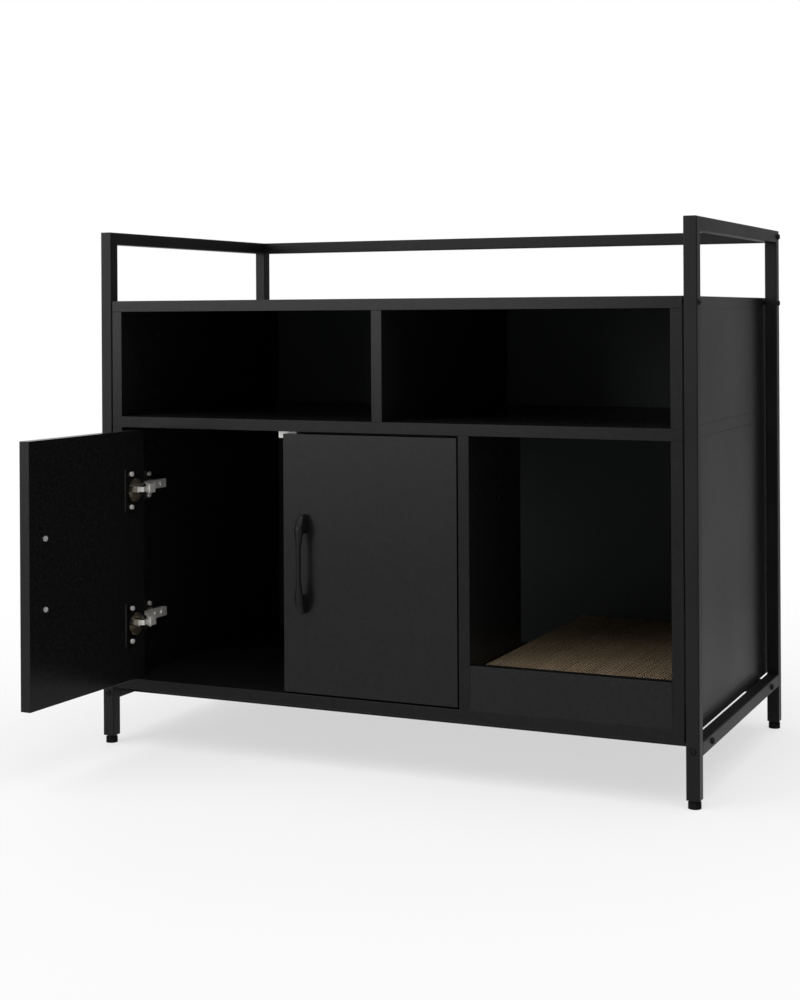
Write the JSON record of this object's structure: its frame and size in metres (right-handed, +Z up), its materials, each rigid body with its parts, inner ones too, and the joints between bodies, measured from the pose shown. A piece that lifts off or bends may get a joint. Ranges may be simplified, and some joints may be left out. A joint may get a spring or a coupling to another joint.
{
  "type": "cat litter box cabinet",
  "caption": "Litter box cabinet: black square tube frame with laminated boards, open shelf bays, doors on cup hinges over a hidden chamber, and an entry bay with a scratching pad.",
  "frame": {"origin": "on the floor, under the centre of the overall box with the left door open as stored; the cabinet's front plane is at Y = -0.1184 m and its own middle plane at X = 0", "axes": "+X to the right as seen from the front, +Y from front to back, +Z up"},
  "size_m": [0.906, 0.7412, 0.755],
  "materials": {
    "frame_steel": "satin",
    "board": "satin",
    "back_board": "matte",
    "handle_metal": "satin",
    "black_hardware": "satin",
    "nickel": "satin",
    "bright_screw": "satin",
    "zinc": "matte",
    "beech": "matte",
    "white_plastic": "satin",
    "black_plastic": "matte",
    "cardboard": "matte"
  },
  "bodies": {
    "cabinet": {"left_front_post": "frame_steel", "left_back_post": "frame_steel", "right_front_post": "frame_steel", "right_back_post": "frame_steel", "left_top_rail": "frame_steel", "right_top_rail": "frame_steel", "back_top_rail": "frame_steel", "left_bottom_rail": "frame_steel", "right_bottom_rail": "frame_steel", "front_cross_bar": "frame_steel", "back_cross_bar": "frame_steel", "bottom_board": "board", "middle_shelf": "board", "top_board": "board", "lower_left_side": "board", "lower_right_side": "board", "upper_left_side": "board", "upper_right_side": "board", "centre_divider": "board", "lower_divider": "board", "sill_board": "board", "lower_back_panel": "back_board", "upper_back_panel": "back_board", "post_bolts": "black_hardware", "cross_bar_bolts": "black_hardware", "back_rail_bolts": "black_hardware", "top_board_screws": "black_hardware", "left_hinge_arms": "nickel", "right_hinge_arms": "nickel", "left_hinge_plates": "nickel", "right_hinge_plates": "nickel", "hinge_arm_pins": "nickel", "hinge_arm_screws": "bright_screw", "hinge_plate_screws": "bright_screw", "door_stop_screws": "bright_screw", "back_panel_nails": "bright_screw", "cam_bolts": "zinc", "cam_locks": "zinc", "tube_end_nuts": "zinc", "dowels": "beech", "door_stop": "white_plastic", "foot_inserts": "black_plastic"},
    "left_door": {"left_door": "board", "left_handle": "handle_metal", "left_handle_screws": "bright_screw", "left_hinge_cups": "nickel", "left_cup_screws": "bright_screw"},
    "right_door": {"right_door": "board", "right_handle": "handle_metal", "right_handle_screws": "bright_screw", "right_hinge_cups": "nickel", "right_cup_screws": "bright_screw"},
    "left_links": {"left_hinge_links": "nickel"},
    "right_links": {"right_hinge_links": "nickel"},
    "scratch_pad": {"scratch_pad": "cardboard"},
    "left_front_foot": {"left_front_foot": "black_plastic"},
    "left_back_foot": {"left_back_foot": "black_plastic"},
    "right_front_foot": {"right_front_foot": "black_plastic"},
    "right_back_foot": {"right_back_foot": "black_plastic"}
  },
  "joints": [
    {"name": "left_door_hinge", "type": "hinge", "parent": "cabinet", "child": "left_door", "pos_m": [-0.4005, -0.11792, 0.28285], "axis": [0, 0, 1], "range_deg": [-12.8, 92.2]},
    {"name": "right_door_hinge", "type": "hinge", "parent": "cabinet", "child": "right_door", "pos_m": [0.1063, -0.11792, 0.28285], "axis": [0, 0, 1], "range_deg": [0, 105]},
    {"name": "left_links_pivot", "type": "hinge", "parent": "cabinet", "child": "left_links", "pos_m": [-0.38043, -0.10062, 0.28285], "axis": [0, 0, 1], "range_deg": [-60.61, 8.59]},
    {"name": "right_links_pivot", "type": "hinge", "parent": "cabinet", "child": "right_links", "pos_m": [0.08623, -0.10062, 0.28285], "axis": [0, 0, 1], "range_deg": [-69, 0]},
    {"name": "scratch_pad_lift", "type": "slide", "parent": "cabinet", "child": "scratch_pad", "axis": [0, 0, 1], "range_m": [0, 0.065]},
    {"name": "left_front_foot_thread", "type": "slide", "parent": "cabinet", "child": "left_front_foot", "axis": [0, 0, -1], "range_m": [0, 0.01]},
    {"name": "left_back_foot_thread", "type": "slide", "parent": "cabinet", "child": "left_back_foot", "axis": [0, 0, -1], "range_m": [0, 0.01]},
    {"name": "right_front_foot_thread", "type": "slide", "parent": "cabinet", "child": "right_front_foot", "axis": [0, 0, -1], "range_m": [0, 0.01]},
    {"name": "right_back_foot_thread", "type": "slide", "parent": "cabinet", "child": "right_back_foot", "axis": [0, 0, -1], "range_m": [0, 0.01]}
  ],
  "couplings": [
    {"joint": "left_links_pivot", "follows": "left_door_hinge", "ratio": -0.65526},
    {"joint": "right_links_pivot", "follows": "right_door_hinge", "ratio": -0.65526}
  ]
}
